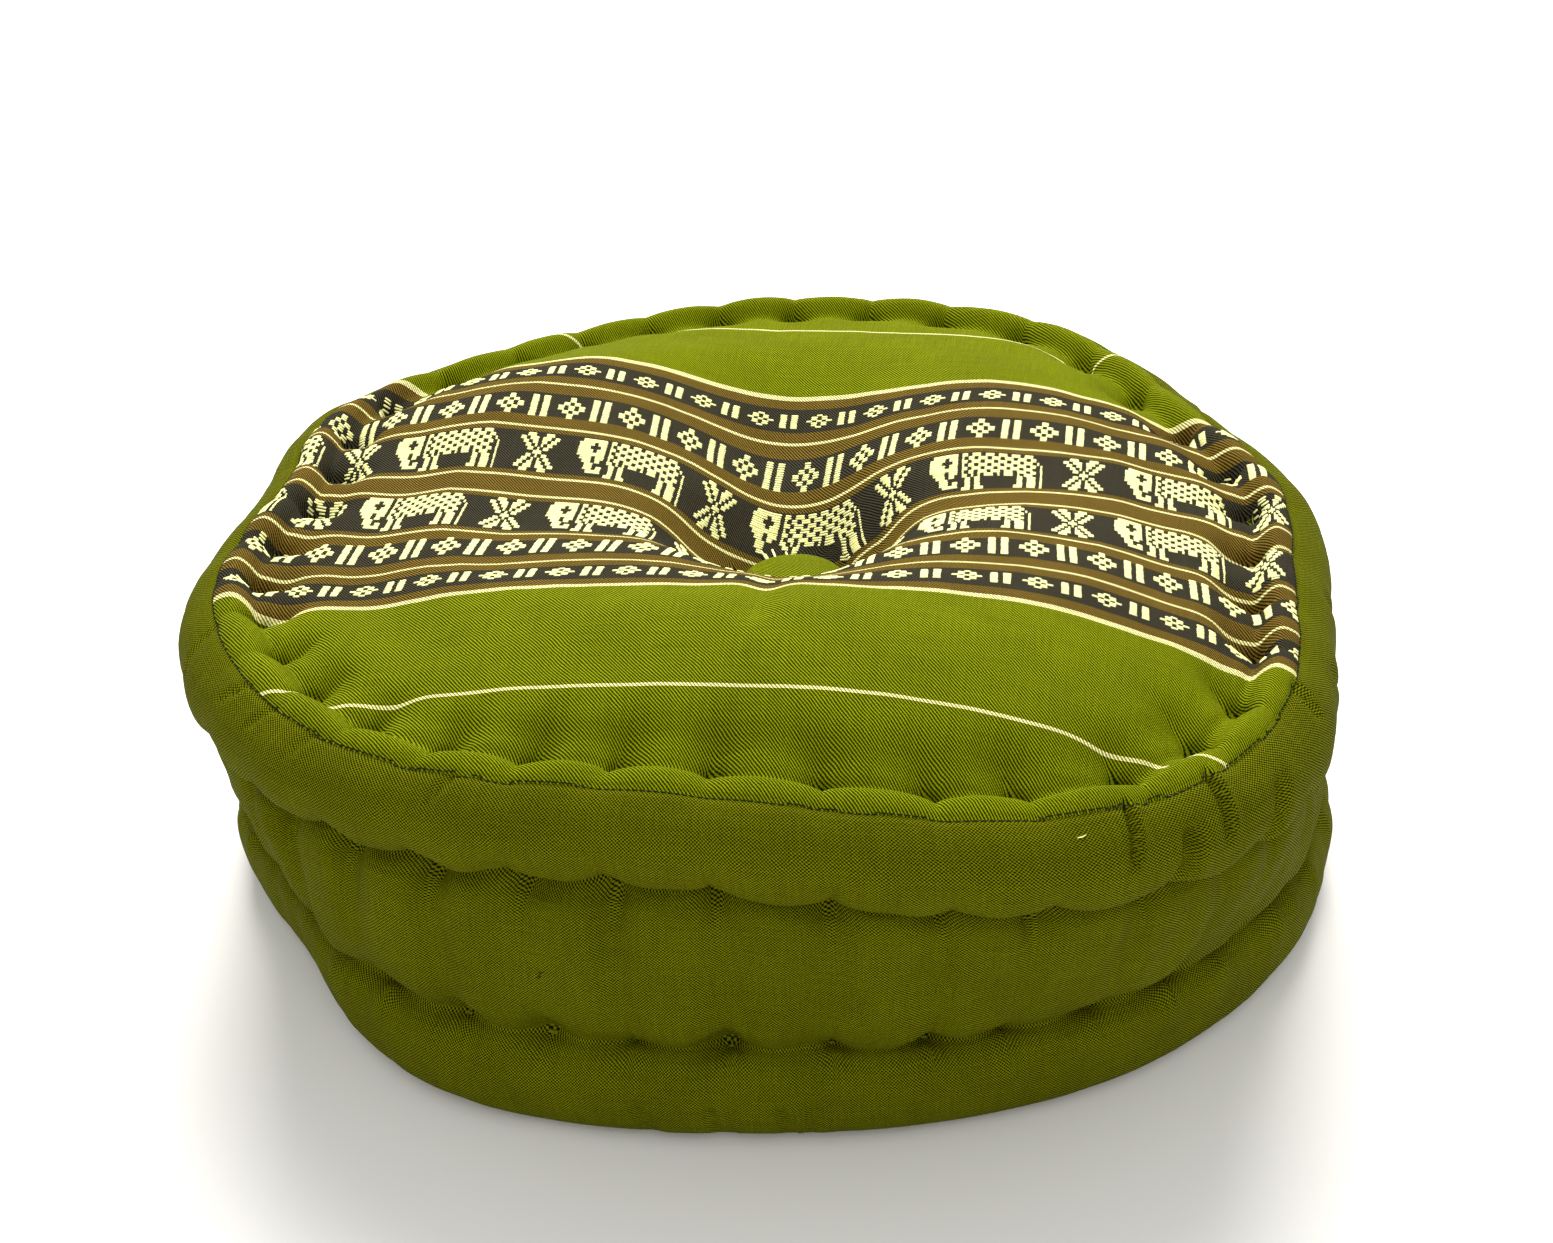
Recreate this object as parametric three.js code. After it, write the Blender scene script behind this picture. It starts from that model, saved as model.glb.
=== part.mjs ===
// A round floor cushion: a filled drum with tufted rolled edges and a covered button in its crown.
// Millimetres, +Z up, resting on Z = 0, the front towards -Y. The crown's stripes run along X.
import * as THREE from "three";

// Driving sizes of the cover.
const SEAM_HEIGHT = 148; // of the seam that joins the top panel to the side wall
const TOP_LEAN = { x: -7, y: -9 }; // how far the top sits off the base, to the left and the front
const TUFT_COLUMNS = 4; // columns of the surface from one tuft to the next
const PILLOW_POWER = 0.7; // below 1 the cloth swells quickly beside a tuft and is flat between two

// Driving sizes of the covered button and the seat it is drawn down to.
const SEAT = { x: 6.5, y: -13.5, radius: 21, height: 119.5, tilt: 4.3 }; // tilt in degrees, the right side up
const DIMPLE_RADIUS = 116; // where the seat's offset and its tilt have died out in the crown
const BUTTON = { radius: 19, thickness: 9, rim: 3, gap: 0.3, profileSteps: 8, sides: 40 };

// One row for each ring of the cover, from the button's seat outwards, down the side and under.
// wide and deep are the ring's half sizes along X and Y, and up is its height.
// fit is how much of UNEVEN's outline the ring takes, and top is the outline's share that belongs to
// the top, the rest being the base's. hollow and crown are its shares of CROWN's columns, and rim of
// UNEVEN's. draw and sink are how far a tuft pulls the ring inwards and downwards.
const SECTION_COLUMNS = [
  "name", "wide", "deep", "up", "fit", "top", "hollow", "crown", "rim", "draw", "sink",
];
const SECTION_ROWS = [
  ["seat edge", 21, 21, 119.5, 0, 1, 0, 0, 0, 0, 0],
  ["dimple foot", 33, 32, 139, 0, 1, 0.6, 0, 0, 0, 0],
  ["dimple wall", 49, 48, 158.5, 0.1, 1, 1, 0.2, 0, 0, 0],
  ["shoulder", 69, 68, 165.5, 0.3, 1, 1, 0.5, 0, 0, 0],
  ["crown inner", 92, 92, 167.5, 0.5, 1, 0.7, 0.9, 0, 0, 0],
  ["crown top", 116, 116, 165, 0.7, 1, 0.3, 1, 0, 0, 0],
  ["crown outer", 137, 138, 158.5, 0.85, 1, 0.1, 0.9, 0.1, 0, 0],
  ["crown edge", 154, 155, 153, 0.95, 1, 0, 0.5, 0.5, 0, 0.8],
  ["crown lip", 163, 164, 148.5, 1, 1, 0, 0.2, 0.8, 0, 4],
  ["tuft ring", 169, 171, 147, 1, 1, 0, 0, 1, 0, 6],
  ["roll crest", 177, 179, 151.5, 1, 1, 0, 0, 1, 0, 2.5],
  ["top seam", 184, 186, 148, 1, 1, 0, 0, 1, 0.5, 1],
  ["roll outer", 195, 196, 139, 1, 1, 0, 0, 0.9, 0.4, 0],
  ["roll face", 198, 199, 128, 1, 1, 0, 0, 0.8, 0.8, 0],
  ["roll under", 194, 194, 115, 1, 1, 0, 0, 0.6, 4, -2],
  ["upper tufts", 188, 185, 109, 1, 0.9, 0, 0, 0.5, 7, -3],
  ["wall top", 196, 188, 101, 1, 0.8, 0, 0, 0.4, 3.5, 0],
  ["wall", 203, 187, 76, 1, 0.5, 0, 0, 0.2, 0.8, 0],
  ["wall foot", 204, 182, 50, 1, 0.2, 0, 0, 0, 2, 0],
  ["lower tufts", 200, 177, 40, 1, 0.1, 0, 0, 0, 5.5, 1],
  ["base roll top", 206, 181, 34, 1, 0.1, 0, 0, 0, 2, 0],
  ["base roll", 209, 184, 20, 1, 0, 0, 0, 0, 0.5, 0],
  ["base roll foot", 205, 180, 6, 1, 0, 0, 0, 0, 0.2, 0],
  ["floor edge", 196, 171, 0, 1, 0, 0, 0, 0, 0, 0],
];
const SECTIONS = SECTION_ROWS.map((row) => (
  Object.fromEntries(row.map((value, index) => [SECTION_COLUMNS[index], value]))
));

// Where the hand-filled drum is fuller or flatter than an oval, each place spread over some degrees.
// top and base push the outline out at the top and at the base, and rim raises the rolled edge.
// Angles run anticlockwise from +X, seen from above.
const UNEVEN = [
  { name: "right side", at: 3, spread: 9, top: 4, base: 0, rim: 0 },
  { name: "flat back right", at: 28, spread: 13, top: -8, base: 0, rim: 0 },
  { name: "back right corner", at: 50, spread: 20, top: 10, base: 0, rim: 1 },
  { name: "back", at: 82, spread: 22, top: 3, base: 0, rim: -1 },
  { name: "flat back left", at: 122, spread: 15, top: -6, base: 0, rim: -3 },
  { name: "slack back left", at: 152, spread: 12, top: 8, base: 0, rim: -3 },
  { name: "left side", at: 173, spread: 10, top: -9, base: 0, rim: 0 },
  { name: "full left wall", at: 195, spread: 10, top: 4, base: 1, rim: 0 },
  { name: "left foot", at: 205, spread: 9, top: 0, base: -10, rim: 0 },
  { name: "front left corner", at: 222, spread: 24, top: 18, base: 3, rim: -4 },
  { name: "front left foot", at: 238, spread: 13, top: 0, base: 7, rim: 0 },
  { name: "flat front", at: 262, spread: 20, top: -16, base: -2, rim: 1.5 },
  { name: "front right corner", at: 305, spread: 26, top: 24, base: 0, rim: -3 },
  { name: "full right front", at: 312, spread: 14, top: 5, base: 0, rim: 0 },
  { name: "flat right", at: 345, spread: 13, top: -6, base: -2, rim: 0 },
];

// Where the filling lies higher or lower under the crown, and where the button's dimple is hollower.
const CROWN = [
  { name: "right", at: 0, spread: 26, crown: -5.5, hollow: 7.5 },
  { name: "back right", at: 45, spread: 26, crown: 2.5, hollow: 5.5 },
  { name: "back", at: 90, spread: 26, crown: -4.5, hollow: 22 },
  { name: "back left", at: 135, spread: 26, crown: 4.5, hollow: 5.5 },
  { name: "left", at: 180, spread: 26, crown: -13, hollow: 7 },
  { name: "front left", at: 225, spread: 26, crown: -6, hollow: -1.5 },
  { name: "front", at: 270, spread: 26, crown: 9.5, hollow: 9 },
  { name: "front right", at: 315, spread: 26, crown: 1, hollow: 0 },
];

// The tufts, in degrees around the cushion. The hand stitching leaves them unevenly spaced.
const TUFT_ANGLES = [
  1, 10, 21, 33, 45, 56, 67, 77, 87, 97, 107, 117, 127, 138, 148, 158, 168, 178, 187,
  195, 202, 210, 218, 227, 236, 245, 254, 264, 275, 285, 293, 303, 312, 320, 330, 339, 350,
];

const radians = (degrees) => (degrees * Math.PI) / 180;
const mix = (a, b, share) => a + (b - a) * share;

// Sum over uneven places of one of their columns at an angle in degrees.
function unevenness(places, angle, column) {
  return places.reduce((sum, place) => {
    const turn = Math.abs(angle - place.at) % 360;
    const away = Math.min(turn, 360 - turn) / place.spread;
    return sum + place[column] * Math.exp(-away * away / 2);
  }, 0);
}

// The surface's columns: each has its angle and its tautness, 1 at a tuft and 0 midway to the next.
function columns() {
  return TUFT_ANGLES.flatMap((angle, tuft) => {
    const next = TUFT_ANGLES[tuft + 1] ?? TUFT_ANGLES[0] + 360;
    return Array.from({ length: TUFT_COLUMNS }, (_, step) => {
      const share = step / TUFT_COLUMNS;
      const pillow = Math.sin(Math.PI * share) ** PILLOW_POWER;
      return { angle: mix(angle, next, share) % 360, taut: 1 - pillow };
    });
  });
}

// One point of the cover, on a section's ring in a column.
function coverPoint(section, { angle, taut }) {
  const around = radians(angle);
  const [cos, sin] = [Math.cos(around), Math.sin(around)];
  const oval = 1 / Math.hypot(cos / section.wide, sin / section.deep);
  const outline = mix(unevenness(UNEVEN, angle, "base"), unevenness(UNEVEN, angle, "top"), section.top);
  const out = oval + section.fit * outline - section.draw * taut;
  const raised = section.crown * unevenness(CROWN, angle, "crown")
    - section.hollow * unevenness(CROWN, angle, "hollow")
    + section.rim * unevenness(UNEVEN, angle, "rim");
  const lean = Math.min(section.up / SEAM_HEIGHT, 1);
  const dimpled = Math.max(0, 1 - out / DIMPLE_RADIUS) / (1 - SEAT.radius / DIMPLE_RADIUS);
  return new THREE.Vector3(
    out * cos + TOP_LEAN.x * lean + SEAT.x * dimpled,
    out * sin + TOP_LEAN.y * lean + SEAT.y * dimpled,
    section.up + raised - section.sink * taut + out * cos * Math.tan(radians(SEAT.tilt)) * dimpled,
  );
}

// The middle of the flat seat that the button is drawn down on.
function seatCentre() {
  const lean = SEAT.height / SEAM_HEIGHT;
  return new THREE.Vector3(TOP_LEAN.x * lean + SEAT.x, TOP_LEAN.y * lean + SEAT.y, SEAT.height);
}

// The filled cushion: rings of points joined row by row, closed by a fan at the seat and at the base.
function cushionGeometry() {
  const around = columns();
  const count = around.length;
  const points = SECTIONS.flatMap((section) => around.map((column) => coverPoint(section, column)));
  points.push(seatCentre());
  points.push(new THREE.Vector3(0, 0, 0));
  const [seat, base] = [points.length - 2, points.length - 1];
  const lastRing = (SECTIONS.length - 1) * count;
  const faces = [];
  for (let column = 0; column < count; column++) {
    const next = (column + 1) % count;
    faces.push(seat, column, next);
    for (let ring = 0; ring < lastRing; ring += count) {
      const [a, b] = [ring + column, ring + next];
      faces.push(a, a + count, b + count, a, b + count, b);
    }
    faces.push(base, lastRing + next, lastRing + column);
  }
  const geometry = new THREE.BufferGeometry().setFromPoints(points);
  geometry.setIndex(faces);
  return geometry;
}

// The covered button: a flat back, a rounded rim and a domed face, turned about its own axis.
function buttonGeometry() {
  const { radius, thickness, rim, profileSteps, sides } = BUTTON;
  const profile = [new THREE.Vector2(0, 0), new THREE.Vector2(radius - rim, 0)];
  for (let step = 0; step <= profileSteps; step++) {
    const turn = radians(90 * (step / profileSteps));
    profile.push(new THREE.Vector2(radius * Math.cos(turn), rim + (thickness - rim) * Math.sin(turn)));
  }
  profile[profile.length - 1].x = 0;
  const geometry = new THREE.LatheGeometry(profile, sides);
  geometry.rotateX(Math.PI / 2);
  return geometry;
}

const coverCloth = new THREE.MeshStandardMaterial({ color: 0x7d8f14, roughness: 0.9, metalness: 0 });
const buttonCloth = new THREE.MeshStandardMaterial({ color: 0x8a9a12, roughness: 0.85, metalness: 0 });

const cushion = new THREE.Mesh(cushionGeometry(), coverCloth);
cushion.name = "cushion";

const button = new THREE.Mesh(buttonGeometry(), buttonCloth);
button.name = "button";
button.position.copy(seatCentre());
button.position.z += BUTTON.gap;
button.rotation.y = -radians(SEAT.tilt);

// The origin is the middle of the cushion's footprint box, on the floor.
const model = new THREE.Group();
model.add(cushion, button);
const box = new THREE.Box3().setFromObject(cushion);
const middle = box.getCenter(new THREE.Vector3());
model.position.set(-middle.x, -middle.y, -box.min.z);

export default model;
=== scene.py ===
"""A round tufted floor cushion with a covered button, dressed in woven cloth.

The cushion's shape follows the solid's rings and tufts on a finer grid. Lengths are in
millimetres in the tables and functions, and become metres when a mesh is made.
"""
import math
import random
import re

import bpy
import numpy as np
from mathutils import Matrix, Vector, noise
from mathutils.bvhtree import BVHTree


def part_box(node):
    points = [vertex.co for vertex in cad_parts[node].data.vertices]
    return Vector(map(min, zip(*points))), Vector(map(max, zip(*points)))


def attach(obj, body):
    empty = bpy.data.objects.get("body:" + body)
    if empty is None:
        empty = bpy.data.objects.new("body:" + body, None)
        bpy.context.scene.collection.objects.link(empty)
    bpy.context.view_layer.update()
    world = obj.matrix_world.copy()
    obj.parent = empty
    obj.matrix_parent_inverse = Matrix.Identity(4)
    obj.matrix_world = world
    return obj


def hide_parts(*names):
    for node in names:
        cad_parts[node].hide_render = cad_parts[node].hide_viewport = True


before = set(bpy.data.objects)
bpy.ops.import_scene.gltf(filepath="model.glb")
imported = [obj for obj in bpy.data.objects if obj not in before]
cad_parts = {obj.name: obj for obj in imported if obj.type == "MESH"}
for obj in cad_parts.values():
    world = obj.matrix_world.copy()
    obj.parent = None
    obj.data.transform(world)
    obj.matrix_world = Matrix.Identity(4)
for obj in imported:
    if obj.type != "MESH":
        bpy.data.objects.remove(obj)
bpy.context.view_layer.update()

MM = 0.001

# The cushion's driving sizes, as in the solid.
SEAM_HEIGHT = 148
TOP_LEAN = (-7, -9)
SEAT = {"x": 6.5, "y": -13.5, "radius": 21, "height": 119.5, "tilt": 4.3}
DIMPLE_RADIUS = 116
BUTTON = {"radius": 19, "thickness": 9, "gap": 0.3}


def table(columns, rows):
    """Rows of numbers, each as a dictionary by the names of its columns."""
    return {name: dict(zip(columns.split(), values)) for name, values in rows.items()}


# The rings of the cover, from the button's seat outwards, down the side and under, as in the solid but
# for pinch and steps. wide and deep are half sizes, and up is the height. fit is the share of the uneven
# places that a ring takes, and top how far they are the top's rather than the base's. hollow, crown and
# rim are its shares of how the tables below lower or raise it. A tuft draws it in and sinks it. pinch is
# the power of the swell between two tufts, low for a sharp crease, and steps the fine rings per row.
SECTIONS = table("wide deep up fit top hollow crown rim draw sink pinch steps", {
    "seat edge": (21, 21, 119.5, 0, 1, 0, 0, 0, 0, 0, 2, 4),
    "dimple foot": (33, 32, 139, 0, 1, 0.6, 0, 0, 0, 0, 2, 6),
    "dimple wall": (49, 48, 158.5, 0.1, 1, 1, 0.2, 0, 0, 0, 2, 6),
    "shoulder": (69, 68, 165.5, 0.3, 1, 1, 0.5, 0, 0, 0, 2, 5),
    "crown inner": (92, 92, 167.5, 0.5, 1, 0.7, 0.9, 0, 0, 0, 2, 5),
    "crown top": (116, 116, 165, 0.7, 1, 0.3, 1, 0, 0, 0, 2, 6),
    "crown outer": (137, 138, 158.5, 0.85, 1, 0.1, 0.9, 0.1, 0, 0, 1.8, 7),
    "crown edge": (154, 155, 153, 0.95, 1, 0, 0.5, 0.5, 0, 0.8, 1.6, 6),
    "crown lip": (163, 164, 148.5, 1, 1, 0, 0.2, 0.8, 0, 4, 1.2, 6),
    "tuft ring": (169, 171, 147, 1, 1, 0, 0, 1, 0, 6, 0.7, 6),
    "roll crest": (177, 179, 151.5, 1, 1, 0, 0, 1, 0, 2.5, 0.8, 6),
    "top seam": (184, 186, 148, 1, 1, 0, 0, 1, 0.5, 1, 1, 8),
    "roll outer": (195, 196, 139, 1, 1, 0, 0, 0.9, 0.4, 0, 1, 6),
    "roll face": (198, 199, 128, 1, 1, 0, 0, 0.8, 0.8, 0, 1, 7),
    "roll under": (194, 194, 115, 1, 1, 0, 0, 0.6, 4, -2, 0.8, 6),
    "upper tufts": (188, 185, 109, 1, 0.9, 0, 0, 0.5, 7, -3, 0.8, 6),
    "wall top": (196, 188, 101, 1, 0.8, 0, 0, 0.4, 3.5, 0, 0.8, 8),
    "wall": (203, 187, 76, 1, 0.5, 0, 0, 0.2, 0.8, 0, 1.2, 8),
    "wall foot": (204, 182, 50, 1, 0.2, 0, 0, 0, 2, 0, 0.9, 6),
    "lower tufts": (200, 177, 40, 1, 0.1, 0, 0, 0, 5.5, 1, 1, 6),
    "base roll top": (206, 181, 34, 1, 0.1, 0, 0, 0, 2, 0, 1, 7),
    "base roll": (209, 184, 20, 1, 0, 0, 0, 0, 0.5, 0, 1, 6),
    "base roll foot": (205, 180, 6, 1, 0, 0, 0, 0, 0.2, 0, 1, 6),
    "floor edge": (196, 171, 0, 1, 0, 0, 0, 0, 0, 0, 1, 1),
})

# Where the hand-filled drum is fuller or flatter than an oval, as in the solid.
UNEVEN = table("at spread top base rim", {
    "right side": (3, 9, 4, 0, 0),
    "flat back right": (28, 13, -8, 0, 0),
    "back right corner": (50, 20, 10, 0, 1),
    "back": (82, 22, 3, 0, -1),
    "flat back left": (122, 15, -6, 0, -3),
    "slack back left": (152, 12, 8, 0, -3),
    "left side": (173, 10, -9, 0, 0),
    "full left wall": (195, 10, 4, 1, 0),
    "left foot": (205, 9, 0, -10, 0),
    "front left corner": (222, 24, 18, 3, -4),
    "front left foot": (238, 13, 0, 7, 0),
    "flat front": (262, 20, -16, -2, 1.5),
    "front right corner": (305, 26, 24, 0, -3),
    "full right front": (312, 14, 5, 0, 0),
    "flat right": (345, 13, -6, -2, 0),
})

# Where the filling lies higher or lower under the crown, and where the button's dimple is hollower.
CROWN = table("at spread crown hollow", {
    "right": (0, 26, -5.5, 7.5),
    "back right": (45, 26, 2.5, 5.5),
    "back": (90, 26, -4.5, 22),
    "back left": (135, 26, 4.5, 5.5),
    "left": (180, 26, -13, 7),
    "front left": (225, 26, -6, -1.5),
    "front": (270, 26, 9.5, 9),
    "front right": (315, 26, 1, 0),
})

# The tufts, in degrees anticlockwise from +X.
TUFT_ANGLES = (
    1, 10, 21, 33, 45, 56, 67, 77, 87, 97, 107, 117, 127, 138, 148, 158, 168, 178, 187,
    195, 202, 210, 218, 227, 236, 245, 254, 264, 275, 285, 293, 303, 312, 320, 330, 339, 350,
)
NEXT_TUFTS = TUFT_ANGLES[1:] + (TUFT_ANGLES[0] + 360,)
# Fine columns from one tuft to the next, in front, where the roll is gathered, and behind.
FRONT = (190, 349)
FRONT_STEPS = 20
GATHERED = (290, 310)
GATHERED_STEPS = 36
BACK_STEPS = 12
TUFT_CROWDING = 0.3  # how much closer the columns stand beside a tuft
UNDER_SHARES = (0.8, 0.6, 0.4, 0.2)  # rings under the cushion, as shares of the floor edge
SEAT_SHARES = (0.35, 0.7)  # rings under the button, as shares of the seat edge


def unevenness(places, angle, column):
    """Sum over uneven places of one of their columns, at angles in degrees."""
    total = np.zeros_like(angle)
    for place in places.values():
        turn = np.abs(angle - place["at"]) % 360
        away = np.minimum(turn, 360 - turn) / place["spread"]
        total += place[column] * np.exp(-away * away / 2)
    return total


def smooth_curve(at, values, where):
    """Cubic curve through values at the places at, along their last axis, read at the places where."""
    at, values = np.array(at, float), np.array(values)
    step = np.diff(at)
    secant = np.diff(values) / step
    slope = np.empty_like(values)
    slope[..., 1:-1] = (secant[..., :-1] * step[1:] + secant[..., 1:] * step[:-1]) / (step[1:] + step[:-1])
    slope[..., 0], slope[..., -1] = secant[..., 0], secant[..., -1]
    k = np.clip(np.searchsorted(at, where, side="right") - 1, 0, len(step) - 1)
    t = (where - at[k]) / step[k]
    rise = values[..., k] * (1 + 2 * t) * (1 - t) ** 2 + values[..., k + 1] * t * t * (3 - 2 * t)
    bend = step[k] * t * (1 - t) * (slope[..., k] * (1 - t) - slope[..., k + 1] * t)
    return rise + bend


# Distance of each section from the seat edge, along the cover's profile.
LENGTH_AT = {"seat edge": 0.0}
for name, after in zip(SECTIONS, list(SECTIONS)[1:]):
    a, b = SECTIONS[name], SECTIONS[after]
    LENGTH_AT[after] = LENGTH_AT[name] + math.hypot(b["wide"] - a["wide"], b["up"] - a["up"])


def ring_places(names, steps):
    """Places along the profile of some sections, with some steps from each to the next."""
    places = []
    for name, after, count in zip(names, names[1:], steps):
        places += [LENGTH_AT[name] + (LENGTH_AT[after] - LENGTH_AT[name]) * k / count for k in range(count)]
    return np.array(places + [LENGTH_AT[names[-1]]])


def rows_at(places):
    """The table's columns at places along the profile."""
    at = list(LENGTH_AT.values())
    columns = {}
    for name in SECTIONS["seat edge"]:
        values = [float(row[name]) for row in SECTIONS.values()]
        columns[name] = smooth_curve(at, values, places)[:, None]
    return columns


def fine_columns():
    """Angle in degrees, growing all the way round, and share of the way from one tuft to the next."""
    angles, shares = [], []
    for angle, after in zip(TUFT_ANGLES, NEXT_TUFTS):
        steps = FRONT_STEPS if FRONT[0] < angle < FRONT[1] else BACK_STEPS
        if GATHERED[0] < angle < GATHERED[1]:
            steps = GATHERED_STEPS
        for step in range(steps):
            share = step / steps
            share -= TUFT_CROWDING * math.sin(2 * math.pi * share) / (2 * math.pi)
            angles.append(angle + (after - angle) * share)
            shares.append(share)
    return np.array(angles), np.array(shares)


def cover_points(row, angle, share):
    """Points of the cover on rings and columns, as in the solid but for the pinch."""
    around = np.radians(angle)
    cos, sin = np.cos(around), np.sin(around)
    taut = 1 - np.sin(math.pi * share) ** row["pinch"]
    oval = 1 / np.hypot(cos / row["wide"], sin / row["deep"])
    base, top = unevenness(UNEVEN, angle, "base"), unevenness(UNEVEN, angle, "top")
    out = oval + row["fit"] * (base + (top - base) * row["top"]) - row["draw"] * taut
    raised = row["crown"] * unevenness(CROWN, angle, "crown") + row["rim"] * unevenness(UNEVEN, angle, "rim")
    raised = raised - row["hollow"] * unevenness(CROWN, angle, "hollow")
    lean = np.minimum(row["up"] / SEAM_HEIGHT, 1)
    dimpled = np.maximum(0, 1 - out / DIMPLE_RADIUS) / (1 - SEAT["radius"] / DIMPLE_RADIUS)
    x = out * cos + TOP_LEAN[0] * lean + SEAT["x"] * dimpled
    y = out * sin + TOP_LEAN[1] * lean + SEAT["y"] * dimpled
    z = row["up"] + raised - row["sink"] * taut + out * cos * math.tan(math.radians(SEAT["tilt"])) * dimpled
    return np.stack(np.broadcast_arrays(x, y, z), -1)


def seat_centre():
    lean = SEAT["height"] / SEAM_HEIGHT
    return np.array([TOP_LEAN[0] * lean + SEAT["x"], TOP_LEAN[1] * lean + SEAT["y"], SEAT["height"]])


def grid_normals(points):
    """Outward normals of a closed grid of rings and columns."""
    along = np.gradient(points, axis=0)
    across = np.roll(points, -1, 1) - np.roll(points, 1, 1)
    normal = np.cross(along, across)
    return normal / np.maximum(np.linalg.norm(normal, axis=-1, keepdims=True), 1e-9)


# Small forms that the needle and the filling leave in the cloth.
# Where a tuft's thread goes in: depth, half width round the cushion and half height along the profile.
PITS = {
    "tuft ring": (2.6, 3.0, 2.8),
    "upper tufts": (0.8, 2.4, 1.8),
    "lower tufts": (0.5, 1.6, 0.9),
}
# Channels from tuft to tuft: depth and half height along the profile.
CHANNELS = {
    "tuft ring": (1.2, 2.2),
    "upper tufts": (4.2, 2.6),
    "lower tufts": (1.8, 1.4),
    "top seam": (1.1, 1.1),
}
# Creases and soft folds that run from the tufts: start, end, depth, half width, the shortest and the
# longest share of the way, and how many times deeper they are at the left and right sides. A depth
# below 0 is a swelling, as where the base roll fills out below a tuft.
PLEATS = (
    ("tuft ring", "crown top", 0.5, 1.6, 0.1, 0.3, 4.0),
    ("tuft ring", "crown top", 0.9, 5.0, 0.2, 0.5, 3.0),
    ("tuft ring", "top seam", 1.0, 1.5, 0.6, 1.1, 1.0),
    ("upper tufts", "roll outer", 0.9, 1.5, 0.2, 0.8, 1.0),
    ("upper tufts", "wall", 0.7, 2.2, 0.2, 0.7, 1.2),
    ("upper tufts", "wall foot", 3.4, 7.0, 0.5, 1.4, 2.4),
    ("lower tufts", "wall", 0.9, 3.0, 0.3, 0.9, 1.0),
    ("lower tufts", "base roll", -3.4, 4.5, 0.9, 1.1, 1.0),
)
# Gathers and folds, listed by the sections between which they run: angle, slant in degrees
# over the run, depth, half width, and lap, above 0 where the cloth folds over to one side.
FOLDS = {
    ("top seam", "roll face"): (
        (300.4, -1.8, 6.0, 1.0, 7.0), (308.6, -1.2, 6.0, 1.1, 7.0), (203.0, 2.0, 1.4, 2.0, 0),
        (27.0, 2.0, 1.6, 2.0, 1.0), (63.0, -2.0, 1.7, 2.0, 1.2), (103.0, 2.0, 1.6, 2.0, 1.0),
        (141.0, -2.0, 1.8, 2.0, 1.2),
    ),
    ("top seam", "roll outer"): (
        (325.0, -1.0, 4.0, 1.5, 2.0), (214.5, -2.5, 2.2, 1.5, 1.6), (219.0, -1.5, 1.6, 1.5, 1.2),
        (225.0, -1.5, 1.5, 1.5, 1.2), (240.0, -1.5, 2.2, 1.5, 1.4),
    ),
    ("roll outer", "roll under"): (
        (304.6, -1.5, 6.0, 2.6, 4.0), (315.0, -2.5, 4.0, 2.4, 2.5), (333.0, 3.0, 1.8, 3.0, 1.5),
    ),
    ("roll outer", "upper tufts"): ((346.0, 2.0, 1.8, 2.8, 1.0),),
    ("crown top", "dimple wall"): ((267.7, 0.0, 2.5, 7.0, 0),),
    ("wall top", "wall foot"): (
        (210.5, -4.0, 1.8, 4.0, 0), (332.5, 4.0, 2.2, 4.0, 0), (343.0, -3.0, 1.8, 3.6, 0),
    ),
    ("base roll", "floor edge"): (
        (254.5, 1.5, 2.0, 3.0, 0.8), (262.0, 1.0, 2.4, 2.0, 1.2), (264.2, -0.8, 1.6, 2.0, 0),
        (269.4, 0.8, 2.6, 2.2, 1.4), (272.6, -1.0, 1.8, 2.0, 0),
    ),
    ("base roll top", "base roll foot"): ((240.5, 2.0, 1.6, 3.0, 0), (297.5, -2.0, 1.6, 3.0, 0)),
}
PIT_SPREAD = (0.8, 1.2)  # least and most share of its depth that a pit has
PLEAT_SPREAD = (0.5, 1.2)
PLEAT_SLANT = 1.2  # degrees, at most
FORM_REACH = 4  # half widths, beyond which a form has died out
# Shares of its run at which a fold begins and ends, and over which it fades.
FOLD_RUN = (-0.02, 0.85, 0.25)
FOLD_THINS = 0.5  # share of its depth that it loses by its end
# The ridge beside a fold: its height to the lap, and its place and half width to the fold's.
RIDGE = {"height": 0.35, "off": 2.2, "width": 1.6}
# Lumps and wrinkles: size across and size upwards in millimetres, and height.
LUMPS = ((70, 70, 1.6), (26, 26, 0.7), (9, 9, 0.22))
WALL_FOLDS = (13, 90, 2.6)
WALL_FOLD_FADE = 30
SEED = 11


def bell(x):
    return np.exp(-x * x)


def eased(x):
    """0 below 0 and 1 above 1, with a smooth rise between."""
    x = np.clip(x, 0, 1)
    return x * x * (3 - 2 * x)


def between(x, low, high, soft):
    """1 between low and high, falling smoothly to 0 over soft on both sides."""
    return eased((x - low) / soft + 0.5) * eased((high - x) / soft + 0.5)


def distance_round(angle, at, radius):
    """How far round the cushion angles in degrees are from another, in millimetres."""
    return np.radians((angle - at + 180) % 360 - 180) * radius


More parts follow.
